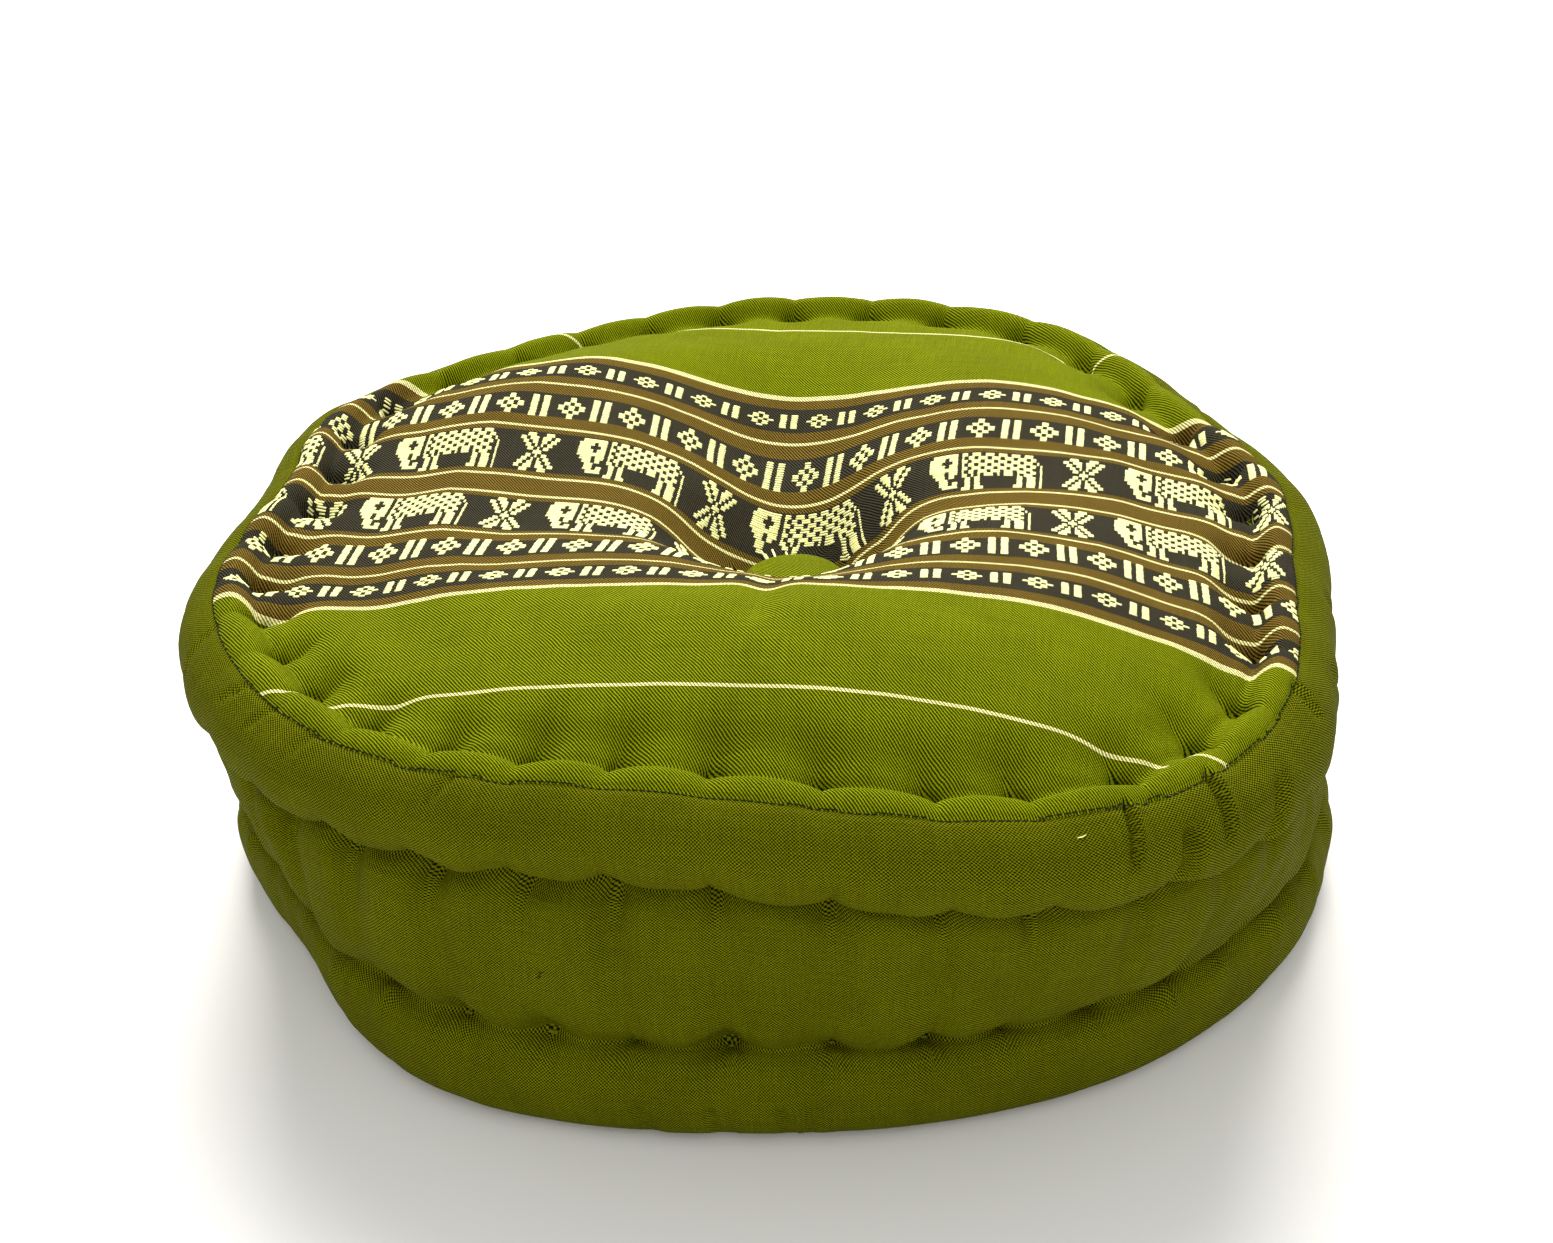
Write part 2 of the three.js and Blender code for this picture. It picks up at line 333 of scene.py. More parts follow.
def tuft_detail(place, angle, radius):
    """How far the needle's pits, pleats and channels draw the cloth in, in millimetres."""
    drawn = np.zeros((len(place), len(angle)))
    place = place[:, None]
    rng = random.Random(SEED)
    for row, (depth, width, height) in PITS.items():
        for at in TUFT_ANGLES:
            off = distance_round(angle, at, radius)
            deep = depth * rng.uniform(*PIT_SPREAD)
            near = np.abs(off).min(0) < FORM_REACH * width
            drawn[:, near] += deep * (bell(off / width) * bell((place - LENGTH_AT[row]) / height))[:, near]
    for row, (depth, height) in CHANNELS.items():
        drawn += depth * bell((place - LENGTH_AT[row]) / height)
    for start, end, depth, width, low, high, sides in PLEATS:
        for at in TUFT_ANGLES:
            reach = rng.uniform(low, high)
            slant = rng.uniform(-PLEAT_SLANT, PLEAT_SLANT)
            run = LENGTH_AT[end] - LENGTH_AT[start]
            along = (place - LENGTH_AT[start]) / run
            off = distance_round(angle, at + slant * along, radius)
            fade = np.clip(1 - along / reach, 0, 1) * eased(along * abs(run) / (1 + width))
            deep = depth * rng.uniform(*PLEAT_SPREAD) * (1 + (sides - 1) * math.cos(math.radians(at)) ** 4)
            near = np.abs(off).min(0) < FORM_REACH * width
            drawn[:, near] += deep * (bell(off / width) * fade)[:, near]
    return drawn


def fold_detail(place, angle, radius):
    """The listed folds: a crease, and a ridge beside it where the cloth laps over."""
    drawn = np.zeros((len(place), len(angle)))
    place = place[:, None]
    for (start, end), folds in FOLDS.items():
        along = (place - LENGTH_AT[start]) / (LENGTH_AT[end] - LENGTH_AT[start])
        shown = between(along, *FOLD_RUN) * (1 - FOLD_THINS * np.clip(along, 0, 1))
        for at, slant, depth, width, lap in folds:
            off = distance_round(angle, at + slant * along, radius)
            ridge = lap * RIDGE["height"] * bell((off / width - RIDGE["off"]) / RIDGE["width"])
            drawn += shown * (depth * bell(off / width) - ridge)
    return drawn


def lumps(points, across, up, height):
    """Smooth random swelling of some size across and upwards."""
    flat = points.reshape(-1, 3) / (across, across, up)
    return height * np.array([noise.noise(Vector(p)) for p in flat]).reshape(points.shape[:2])


def lump_detail(place, points):
    """Uneven filling and slight wrinkles, outwards in millimetres, with upright folds on the wall."""
    wall = between(place, LENGTH_AT["roll under"], LENGTH_AT["base roll"], WALL_FOLD_FADE)[:, None]
    return sum(lumps(points, *row) for row in LUMPS) + wall * lumps(points, *WALL_FOLDS)


# The top panel's cloth, laid flat. Its weave is turned from X, and the button is beside its middle.
WEAVE_TURN = 7.7  # degrees
BUTTON_ON_CLOTH = (-1.7, 16.5)
SLIP = (0, -6)  # how far the cloth slipped into the dimple, fading in up to SLIP_REACH
SLIP_REACH = 62
# The net that is laid flat: columns, and rings from each section to the next.
NET_COLUMNS = 44
NET_SECTIONS = list(SECTIONS)[: list(SECTIONS).index("top seam") + 1]
NET_STEPS = (2, 2, 2, 2, 2, 2, 2, 2, 1, 1, 1)
NET_ROUNDS = 150
# Around the button the cloth is gathered, so that it keeps its lengths less well up to LOOSE_RADIUS.
LOOSE = 0.3
LOOSE_RADIUS = 18
LOOSE_FADE = 30
CORE_RADIUS = 6  # ties nearer the middle count as if they were this far out
HOLD = 1e-3  # a weak hold that keeps the whole net in its place


def net_ties(rings, columns):
    """Pairs of neighbours in the net, around, outwards and both diagonals. Its last point is the middle."""
    pairs = [(rings * columns, column) for column in range(columns)]
    for ring in range(rings):
        for column in range(columns):
            here, after = ring * columns + column, ring * columns + (column + 1) % columns
            pairs.append((here, after))
            if ring + 1 < rings:
                pairs += [(here, here + columns), (here, after + columns), (after, here + columns)]
    return np.array(pairs).T


def lay_flat(net, centre):
    """The net pressed flat, its ties as near their lengths as they can all be, from the button's middle."""
    rings, columns = net.shape[:2]
    points = np.concatenate([net.reshape(-1, 3), [centre]])
    a, b = net_ties(rings, columns)
    length = np.linalg.norm(points[a] - points[b], axis=1)
    radius = np.linalg.norm((points[a] + points[b])[:, :2] / 2 - centre[:2], axis=1)
    firm = LOOSE + (1 - LOOSE) * np.clip((radius - LOOSE_RADIUS) / LOOSE_FADE, 0, 1)
    stiff = firm * np.maximum(radius, CORE_RADIUS) / length ** 2
    ties = np.full((len(points), len(points)), HOLD)
    for i, j, sign in ((a, a, 1), (b, b, 1), (a, b, -1), (b, a, -1)):
        np.add.at(ties, (i, j), sign * stiff)
    solve = np.linalg.inv(ties)

    step = np.diff(np.concatenate([np.broadcast_to(centre, net[:1].shape), net]), axis=0)
    reach = np.cumsum(np.linalg.norm(step, axis=-1), axis=0)
    off = net[..., :2] - centre[:2]
    off *= (reach / np.linalg.norm(off, axis=-1))[..., None]
    flat = np.concatenate([off.reshape(-1, 2), [[0, 0]]])
    for _ in range(NET_ROUNDS):
        apart = flat[a] - flat[b]
        pull = (stiff * length / np.linalg.norm(apart, axis=1))[:, None] * apart
        push = np.zeros_like(flat)
        np.add.at(push, a, pull)
        np.subtract.at(push, b, pull)
        flat = solve @ push
    flat -= flat[-1]
    return (flat[:-1, 0] + 1j * flat[:-1, 1]).reshape(rings, columns)


def cloth_coordinates(place, angle):
    """Where the cover's rings and columns lie on the top panel's cloth: along the stripes, and across."""
    net_place = ring_places(NET_SECTIONS, NET_STEPS)
    net_angle = np.arange(NET_COLUMNS) * 360 / NET_COLUMNS
    net = cover_points(rows_at(net_place), net_angle, np.full(NET_COLUMNS, 0.5))
    flat = lay_flat(net, seat_centre()) * np.exp(-1j * np.radians(net_angle))
    along = smooth_curve(net_place, flat.T, place).T
    margin = 3
    around = np.concatenate([net_angle[-margin:] - 360, net_angle, net_angle[:margin] + 360])
    along = np.concatenate([along[:, -margin:], along, along[:, :margin]], 1)
    turned = smooth_curve(around, along, angle % 360) * np.exp(1j * np.radians(angle + WEAVE_TURN))
    slipped = eased((np.abs(turned) - SEAT["radius"]) / (SLIP_REACH - SEAT["radius"]))[..., None] * SLIP
    return np.stack([turned.real, turned.imag], -1) + BUTTON_ON_CLOTH + slipped


# The small forms fade in from DETAIL_START, just off the button's seat, over DETAIL_FADE.
DETAIL_START = 2
DETAIL_FADE = 8
WALL_RADIUS = 195  # where the wall's cloth keeps its length round the cushion
CLOTH_LAYER = "cloth"
TOP_PANEL = 0
WALL_PANEL = 1
BASE_PANEL = 2


def build_cover():
    """The whole cover as one closed mesh in millimetres, with each face's cloth coordinates and panel."""
    place = ring_places(list(SECTIONS), [row["steps"] for row in SECTIONS.values()])
    angle, share = fine_columns()
    base = cover_points(rows_at(place), angle, share)
    radius = np.linalg.norm(base[..., :2], axis=-1)
    swell = lump_detail(place, base) - tuft_detail(place, angle, radius) - fold_detail(place, angle, radius)
    free = between(place, DETAIL_START, LENGTH_AT["base roll foot"], DETAIL_FADE)[:, None]
    points = base + grid_normals(base) * (swell * free)[..., None]
    points[..., 2] = np.maximum(points[..., 2], 0)
    points[-1, :, 2] = 0

    centre = seat_centre()
    seat = [centre + (points[0] - centre) * share for share in SEAT_SHARES]
    under = [points[-1] * share for share in UNDER_SHARES]
    rings = np.concatenate([seat, points, under])
    count, columns = rings.shape[:2]
    first, last = len(seat), len(seat) + len(points) - 1
    seam = first + int(np.argmin(np.abs(place - LENGTH_AT["top seam"])))

    verts = np.concatenate([rings.reshape(-1, 3), [centre], [[0, 0, 0]]])
    closed = np.concatenate([rings, rings[:, :1]], 1)
    turn = np.radians(np.append(angle, angle[0] + 360))
    cloth = closed[..., :2].copy()
    cloth[first: seam + 1] = cloth_coordinates(place[: seam - first + 1], np.append(angle, angle[0]))
    for ring, part in enumerate(SEAT_SHARES):
        cloth[ring] = BUTTON_ON_CLOTH + (cloth[first] - BUTTON_ON_CLOTH) * part
    wall = cloth.copy()
    wall[seam: last + 1, :, 0] = turn * WALL_RADIUS
    wall[seam: last + 1, :, 1] = -(place - LENGTH_AT["top seam"])[seam - first:, None]

    faces, uvs, panels = [], [], []
    for ring in range(count - 1):
        panel = TOP_PANEL if ring < seam else (WALL_PANEL if ring < last else BASE_PANEL)
        sheet = (cloth, wall, closed[..., :2])[panel]
        for column in range(columns):
            after = (column + 1) % columns
            a, b = ring * columns + column, ring * columns + after
            faces.append((a, a + columns, b + columns, b))
            uvs += [sheet[ring, column], sheet[ring + 1, column]]
            uvs += [sheet[ring + 1, column + 1], sheet[ring, column + 1]]
            panels.append(panel)
    seat_point, base_point = len(verts) - 2, len(verts) - 1
    for column in range(columns):
        after = (column + 1) % columns
        faces.append((seat_point, column, after))
        uvs += [BUTTON_ON_CLOTH, cloth[0, column], cloth[0, column + 1]]
        panels.append(TOP_PANEL)
        under_ring = (count - 1) * columns
        faces.append((base_point, under_ring + after, under_ring + column))
        uvs += [(0, 0), closed[-1, column + 1, :2], closed[-1, column, :2]]
        panels.append(BASE_PANEL)
    return verts, faces, np.array(uvs), panels


def add_object(name, data):
    piece = bpy.data.objects.new(name, data)
    bpy.context.scene.collection.objects.link(piece)
    return piece


def make_mesh(name, verts, faces, uvs=None, materials=(), panels=None, smooth=True):
    """A mesh object from points in millimetres in the row frame."""
    mesh = bpy.data.meshes.new(name)
    mesh.from_pydata([tuple(p) for p in np.array(verts) * MM], [], [tuple(f) for f in faces])
    if uvs is not None:
        layer = mesh.uv_layers.new(name=CLOTH_LAYER)
        layer.data.foreach_set("uv", np.array(uvs, np.float32).ravel())
    for material in materials:
        mesh.materials.append(material)
    if panels is not None:
        mesh.polygons.foreach_set("material_index", panels)
    mesh.polygons.foreach_set("use_smooth", [smooth] * len(mesh.polygons))
    mesh.validate()
    mesh.update()
    return add_object(name, mesh)


class Nodes:
    """A material's node tree, with short names for the nodes used here."""

    def __init__(self, name):
        self.material = bpy.data.materials.new(name)
        self.material.use_nodes = True
        self.tree = self.material.node_tree
        self.shader = self.tree.nodes["Principled BSDF"]

    def add(self, kind, inputs=(), **settings):
        node = self.tree.nodes.new(kind)
        for key, value in settings.items():
            setattr(node, key, value)
        for key, value in dict(inputs).items():
            self.feed(node.inputs[key], value)
        return node

    def feed(self, socket, value):
        if isinstance(value, bpy.types.NodeSocket):
            self.tree.links.new(value, socket)
        else:
            socket.default_value = value

    def math(self, operation, *values):
        return self.add("ShaderNodeMath", dict(enumerate(values)), operation=operation).outputs[0]

    def mix(self, factor, a, b, blend="MIX"):
        inputs = {0: factor, 6: a, 7: b}
        return self.add("ShaderNodeMix", inputs, data_type="RGBA", blend_type=blend).outputs[2]

    def cloth(self):
        layer = self.add("ShaderNodeUVMap", uv_map=CLOTH_LAYER)
        parts = self.add("ShaderNodeSeparateXYZ", {0: layer.outputs[0]})
        return parts.outputs[:2]

    def vector(self, x, y, z=0.0):
        return self.add("ShaderNodeCombineXYZ", {0: x, 1: y, 2: z}).outputs[0]

    def noise(self, vector, scale=1.0, detail=2.0):
        inputs = {"Vector": vector, "Scale": scale, "Detail": detail}
        return self.add("ShaderNodeTexNoise", inputs).outputs[0]

    def remap(self, value, low, high, new_low=0.0, new_high=1.0):
        inputs = {0: value, 1: low, 2: high, 3: new_low, 4: new_high}
        return self.add("ShaderNodeMapRange", inputs, interpolation_type="SMOOTHSTEP").outputs[0]

    def tone(self, noise, darkest, lightest):
        """A noise, which lies mostly between 0.3 and 0.7, as a grey value between two limits."""
        return self.remap(noise, 0.3, 0.7, darkest, lightest)

    def shade(self, colour, value):
        """A colour made darker or lighter by a grey value."""
        grey = self.add("ShaderNodeCombineColor", {0: value, 1: value, 2: value}).outputs[0]
        return self.mix(1.0, colour, grey, "MULTIPLY")

    def bump(self, height, distance, strength):
        inputs = {"Height": height, "Distance": distance, "Strength": strength}
        return self.add("ShaderNodeBump", inputs).outputs[0]

    def finish(self, colour, normal, roughness, sheen=0.0, specular=0.3):
        inputs = {"Base Color": colour, "Normal": normal, "Roughness": roughness}
        inputs |= {"Sheen Weight": sheen, "Specular IOR Level": specular}
        for name, value in inputs.items():
            self.feed(self.shader.inputs[name], value)
        return self.material


def srgb(*screen):
    """A colour given as it looks on a screen, 0 to 255, as the linear one that a shader takes."""
    shares = [c / 255 for c in screen]
    return (*(c / 12.92 if c <= 0.04045 else ((c + 0.055) / 1.055) ** 2.4 for c in shares), 1)


# The yarns, as pairs of the thread that shows most and the one that shows between.
GREEN = (srgb(130, 139, 0), srgb(27, 33, 0))
BROWN = (srgb(122, 98, 34), srgb(30, 24, 8))
CHARCOAL = (srgb(64, 60, 44), srgb(14, 13, 11))
CREAM = (srgb(255, 250, 180), srgb(130, 120, 52))
WALL_GREEN = (srgb(111, 114, 0), srgb(15, 18, 0))
# Half of the woven pattern, from its centre line: zone and outer edge in millimetres.
STRIPES = (
    (BROWN, 4.7), (CREAM, 6.1), (BROWN, 8.4), (CHARCOAL, 31.9), (BROWN, 34.4), (CREAM, 35.8),
    (BROWN, 41.3), (CHARCOAL, 56.5), (BROWN, 63.0), (CREAM, 64.4), (BROWN, 69.8), (CHARCOAL, 81.5),
    (BROWN, 87.4), (CREAM, 88.8), (GREEN, 141.0), (CREAM, 142.4), (GREEN, 320.0),
)
# The twills: repeat along and across the stripes, strength of the back diagonal, and softness.
TWILL = (1.22, 1.3, 0.25, 0.28)
WALL_TWILL = (1.16, 1.14, 0.8, 0.24)
# The yarns' streaks: scale along and across the cloth, and where the noise starts.
WEFT = (0.04, 1.7, 0.0)
WARP = (1.9, 0.05, 7.0)
LINE_DRIFT = 1.4  # how far, in repeats, the twill's lines wander
FLECKS = 0.7  # how much fuzz blurs the change from one yarn to the other


def twill(nodes, along, across, wide, tall, back_share):
    """The diagonal lines of a twill, 0 to 1, with a fainter diagonal the other way, slightly irregular."""
    drift = nodes.noise(nodes.vector(along, across), scale=0.11, detail=2)
    wander = nodes.math("MULTIPLY", drift, LINE_DRIFT)
    u = nodes.math("DIVIDE", along, wide)
    v = nodes.math("DIVIDE", across, tall)
    forward = nodes.math("ADD", nodes.math("ADD", u, v), wander)
    backward = nodes.math("SUBTRACT", nodes.math("SUBTRACT", v, u), wander)
    waves = [nodes.math("SINE", nodes.math("MULTIPLY", phase, 2 * math.pi)) for phase in (forward, backward)]
    both = nodes.math("ADD", waves[0], nodes.math("MULTIPLY", waves[1], back_share))
    return nodes.math("MULTIPLY_ADD", both, 0.5 / (1 + back_share), 0.5)


def yarn_streaks(nodes, along, across):
    """Uneven yarns, 0 to 1: weft streaks along the cloth and warp streaks across it."""
    streaks = []
    for along_scale, across_scale, start in (WEFT, WARP):
        place = (nodes.math("MULTIPLY", along, along_scale), nodes.math("MULTIPLY", across, across_scale))
        streaks.append(nodes.noise(nodes.vector(*place, start), detail=3))
    return nodes.math("MULTIPLY", nodes.math("ADD", *streaks), 0.5)


def cloth_finish(nodes, along, across, light, dark, weave):
    """Twill of two yarns with uneven threads, mottling and fuzz."""
    *repeat, soft = weave
    lines = twill(nodes, along, across, *repeat)
    streaks = yarn_streaks(nodes, along, across)
    flecks = nodes.noise(nodes.vector(along, across), scale=2.6, detail=1)
    shown = nodes.math("ADD", lines, nodes.math("MULTIPLY_ADD", flecks, FLECKS, -FLECKS / 2))
    dark_share = nodes.remap(shown, 0.5 - soft, 0.5 + soft)
    colour = nodes.shade(nodes.mix(dark_share, light, dark), nodes.tone(streaks, 0.82, 1.16))
    mottle = nodes.noise(nodes.vector(along, across), scale=0.035, detail=4)
    colour = nodes.shade(colour, nodes.tone(mottle, 0.94, 1.06))
    height = nodes.math("SUBTRACT", nodes.math("MULTIPLY", streaks, 0.8), dark_share)
    return colour, nodes.bump(height, distance=0.00016, strength=0.7)


def striped(nodes, distance, which):
    """Colour of one of the two yarns against the distance from the pattern's centre line."""
    reach = STRIPES[-1][1]
    node = nodes.add("ShaderNodeValToRGB", {0: nodes.math("DIVIDE", distance, reach)})
    ramp = node.color_ramp
    ramp.interpolation = "CONSTANT"
    start = 0.0
    for zone, (yarns, edge) in enumerate(STRIPES):
        stop = ramp.elements[0] if zone == 0 else ramp.elements.new(start / reach)
        stop.position = start / reach
        stop.color = yarns[which]
        start = edge
    ramp.elements.remove(ramp.elements[-1])
    return node.outputs[0]


def top_cloth():
    nodes = Nodes("striped_cotton")
    along, across = nodes.cloth()
    distance = nodes.math("ABSOLUTE", across)
    light, dark = striped(nodes, distance, 0), striped(nodes, distance, 1)
    return nodes.finish(*cloth_finish(nodes, along, across, light, dark, TWILL), 0.85, specular=0.03)


def plain_cloth(name, yarns, weave, roughness, specular=0.03):
    """Cloth of one pair of yarns."""
    nodes = Nodes(name)
    along, across = nodes.cloth()
    return nodes.finish(*cloth_finish(nodes, along, across, *yarns, weave), roughness, specular=specular)


def thread(name, colour):
    """Spun thread: fibres along it, lighter and darker in places."""
    nodes = Nodes(name)
    place = nodes.add("ShaderNodeTexCoord").outputs["Object"]
    fibres = nodes.noise(place, scale=2420, detail=2)
    patches = nodes.noise(place, scale=260, detail=2)
    shade = nodes.math("ADD", nodes.tone(fibres, 0.88, 1.05), nodes.tone(patches, -0.05, 0.05))
    normal = nodes.bump(fibres, distance=0.00012, strength=0.6)
    return nodes.finish(nodes.shade(colour, shade), normal, 0.8, sheen=0.02, specular=0.08)


class Surface:
    """The top panel laid flat, to find the place and normal of any point of its cloth."""

    def __init__(self, piece, panel):
        mesh = piece.data
        layer = mesh.uv_layers[CLOTH_LAYER].data
        self.flat, self.solid, self.normals, tris = [], [], [], []
        for face in mesh.polygons:
            if face.material_index != panel:
                continue
            loops = list(face.loop_indices)
            for b, c in zip(loops[1:], loops[2:]):
                start = len(self.flat)
                for loop in (loops[0], b, c):
                    vertex = mesh.vertices[mesh.loops[loop].vertex_index]
                    self.flat.append(layer[loop].uv.to_3d())
                    self.solid.append(vertex.co / MM)
                    self.normals.append(vertex.normal.copy())
                tris.append((start, start + 1, start + 2))
        self.tree = BVHTree.FromPolygons(self.flat, tris, epsilon=0.0)

    def find(self, u, v):
        """Point and normal at a place of the cloth, or None off the panel."""
        at, _, face, _ = self.tree.ray_cast(Vector((u, v, 1)), Vector((0, 0, -1)))
        if at is None:
            return None
        corners = slice(3 * face, 3 * face + 3)
        a, b, c = self.flat[corners]
        whole = (b - a).cross(c - a).z
        if abs(whole) < 1e-9:
            return None
        wb, wc = (at - a).cross(c - a).z / whole, (b - a).cross(at - a).z / whole
        weights = (1 - wb - wc, wb, wc)
        point = sum((w * p for w, p in zip(weights, self.solid[corners])), Vector())
        normal = sum((w * n for w, n in zip(weights, self.normals[corners])), Vector())
        return point, normal.normalized()


# The woven motifs, drawn in cells of one unit by one row, where # is cream yarn on top.
UNIT = 1.142  # millimetres along the stripe
FLOAT_PITCH = 1.05  # from one float to the next, two to a chart row
ELEPHANT = (
    ".########.##.###.###.###.###.###...",
    "#####.###.#.##.###.###.###.###.##..",
    "####...##.##.###.###.###.###.###.#.",
    "#####.###.#.##.###.###.###.###.##.#",
    "#########.##.###.###.###.###.###..#",
    ".####.###.#.##.###.###.###.###.##.#",
    "..###.##..##.#.#.###.#.###.#.###..#",
    "...###.....##.##...........##.###.#",
    "...###.##..##.##...........##.###.#",
    "....#####..##.##...........##.###.#",
    "..........###.###.........###.###.#",
)
CROSS_HALF = (
    "..###...###..",
    "##.###.###.##",
    ".##.##.##.##.",
    "..##.#.#.##..",
    "...##.#.##...",
)
CROSS = CROSS_HALF + (".....###.....",) + CROSS_HALF[::-1]
GAP = 6  # units between an elephant and a cross
WALK_REPEAT = len(ELEPHANT[0]) + len(CROSS[0]) + 2 * GAP
# The two rows of elephants: middle of the stripe, and where the middle elephant's head starts along it.
WALKS = ((20.2, -9.2), (-20.2, -12.4))
WALK_TURNS = range(-4, 5)  # repeats, past the panel's edge on both sides
# Bands of diamonds and bars: middle of the stripe, floats in each row of beads, and phase.
DIAMOND_REPEAT = 20
DIAMOND_BANDS = {
    "large back": (48.9, (3, 2, 3, 2, 3), -15.6),
    "small back": (75.7, (1, 2, 1, 2, 1), -13.9),
    "large front": (-48.9, (3, 2, 3, 2, 3), -17.1),
    "small front": (-75.7, (1, 2, 1, 2, 1), -16.0),
}
DIAMOND_TURNS = range(-9, 10)
# Middles of the beads in each row of a diamond.
BEAD_ROWS = ((0,), (-1.7, 1.7), (-3.4, 0, 3.4), (-1.7, 1.7), (0,))
BEAD_WIDTH = 2.3
BARS = (6.5, 10.2)  # left edges of the two bars after the diamond's middle, in units
BAR_WIDTH = 2.5


def chart_floats(chart, left, top):
    """The floats of a chart as (start, end, across), two for each row."""
    for row, cells in enumerate(chart):
        for half in range(2):
            across = top - (2 * row + half + 0.5) * FLOAT_PITCH
            for run in re.finditer("#+", cells):
                yield left + run.start() * UNIT, left + run.end() * UNIT, across


def walking_floats():
    """Both rows of elephants and crosses. All walk to the left with their feet to the front."""
    repeat = WALK_REPEAT * UNIT
    for middle, phase in WALKS:
        top = middle + len(ELEPHANT) * FLOAT_PITCH
        for turn in WALK_TURNS:
            left = phase + turn * repeat
            yield from chart_floats(ELEPHANT, left, top)
            yield from chart_floats(CROSS, left + (len(ELEPHANT[0]) + GAP) * UNIT, top)


def diamond_floats():
    """The bands of diamonds made of beads, with a pair of bars between two diamonds."""
    for middle, beads, phase in DIAMOND_BANDS.values():
        top = middle + sum(beads) * FLOAT_PITCH / 2
        for turn in DIAMOND_TURNS:
            centre = phase + turn * DIAMOND_REPEAT * UNIT
            line = 0
            for row, floats in zip(BEAD_ROWS, beads):
                spans = [(bead - BEAD_WIDTH / 2, bead + BEAD_WIDTH / 2) for bead in row]
                spans += [(bar, bar + BAR_WIDTH) for bar in BARS]
                for _ in range(floats):
                    across = top - (line + 0.5) * FLOAT_PITCH
                    line += 1
                    for start, end in spans:
                        yield centre + start * UNIT, centre + end * UNIT, across


FLOAT_WIDTH = 0.78
FLOAT_HEIGHT = 0.42
FLOAT_END = 0.38  # over this length a float rises out of the cloth
FLOAT_STEP = 1.7  # about how far apart its points are
FLOAT_TIP = 0.6  # width at its ends, as a share
FLOAT_SUNK = -0.2  # height of its ends
FLOAT_SHIFT = 0.12  # how far it may be off along the cloth, and across it
FLOAT_SKEW = 0.05
FLOAT_LIFT = (0.85, 1.15)  # least and most share of its height
FLOAT_MARGIN = 0.5  # a float nearer to the panel's edge is left out
# Half round section of a float: across in widths, up in heights.
FLOAT_SECTION = ((-0.5, -0.35), (-0.3, 0.75), (0.3, 0.75), (0.5, -0.35))


def float_mesh(name, floats, surface, material):
    """Each float as a low round strip that follows the cloth and dives in at its ends."""
    verts, faces, uvs = [], [], []
    rng = random.Random(SEED)
    side = len(FLOAT_SECTION)
    for start, end, across in floats:
        start += rng.uniform(-FLOAT_SHIFT, FLOAT_SHIFT)
        end += rng.uniform(-FLOAT_SHIFT, FLOAT_SHIFT)
        across += rng.uniform(-FLOAT_SKEW, FLOAT_SKEW)
        run = end - start - 2 * FLOAT_END
        inner = max(1, round(run / FLOAT_STEP))
        stops = [start] + [start + FLOAT_END + run * k / inner for k in range(inner + 1)] + [end]
        found = [surface.find(u, across) for u in stops]
        ahead = surface.find((start + end) / 2, across + FLOAT_MARGIN)
        if ahead is None or None in found:
            continue
        first = len(verts)
        lift = rng.uniform(*FLOAT_LIFT)
        for k, (point, normal) in enumerate(found):
            at_end = k in (0, len(found) - 1)
            wide = FLOAT_WIDTH * (FLOAT_TIP if at_end else 1)
            high = 0 if at_end else FLOAT_HEIGHT * lift
            sunk = FLOAT_SUNK if at_end else 0
            before, after = found[max(k - 1, 0)][0], found[min(k + 1, len(found) - 1)][0]
            sideways = normal.cross(after - before).normalized()
            for off, up in FLOAT_SECTION:
                verts.append(point + sideways * (off * wide) + normal * (up * high + sunk))
                uvs.append((stops[k], across + off * wide))
        for k in range(len(found) - 1):
            for j in range(side - 1):
                a = first + k * side + j
                faces.append((a, a + side, a + side + 1, a + 1))
    loops = [uvs[v] for face in faces for v in face]
    return make_mesh(name, verts, faces, loops, [material])


THREAD_TIP = 0.45  # thickness of a thread's ends, as a share


def strand(verts, faces, path, radius, normals, sides):
    """Adds a thread of round section along a path, closed and tapered at its ends."""
    first = len(verts)
    count = len(path)
    for k, point in enumerate(path):
        tangent = (path[min(k + 1, count - 1)] - path[max(k - 1, 0)]).normalized()
        sideways = tangent.cross(normals[k]).normalized()
        up = sideways.cross(tangent)
        size = radius * (THREAD_TIP if k in (0, count - 1) else 1)
        for j in range(sides):
            turn = 2 * math.pi * j / sides
            verts.append(point + sideways * (size * math.cos(turn)) + up * (size * math.sin(turn)))
    for k in range(count - 1):
        for j in range(sides):
            a, b = first + k * sides + j, first + k * sides + (j + 1) % sides
            faces.append((a, b, b + sides, a + sides))
    faces.append(tuple(first + j for j in reversed(range(sides))))
    faces.append(tuple(first + (count - 1) * sides + j for j in range(sides)))


def skin_of(piece):
    """The finished cover in millimetres, ready to be searched for its nearest places."""
    mesh = piece.data
    points = [vertex.co / MM for vertex in mesh.vertices]
    return BVHTree.FromPolygons(points, [tuple(face.vertices) for face in mesh.polygons])


def lay_thread(verts, faces, skin, points, heights, radius, sides, rises=None):
    """Adds a thread along the cover, near some points and at some heights, moved up by the rises."""
    places = [skin.find_nearest(Vector(point))[:2] for point in points]
    path = [place + normal * height for (place, normal), height in zip(places, heights)]
    if rises:
        path = [point + Vector((0, 0, rise)) for point, rise in zip(path, rises)]
    strand(verts, faces, path, radius, [normal for _, normal in places], sides)


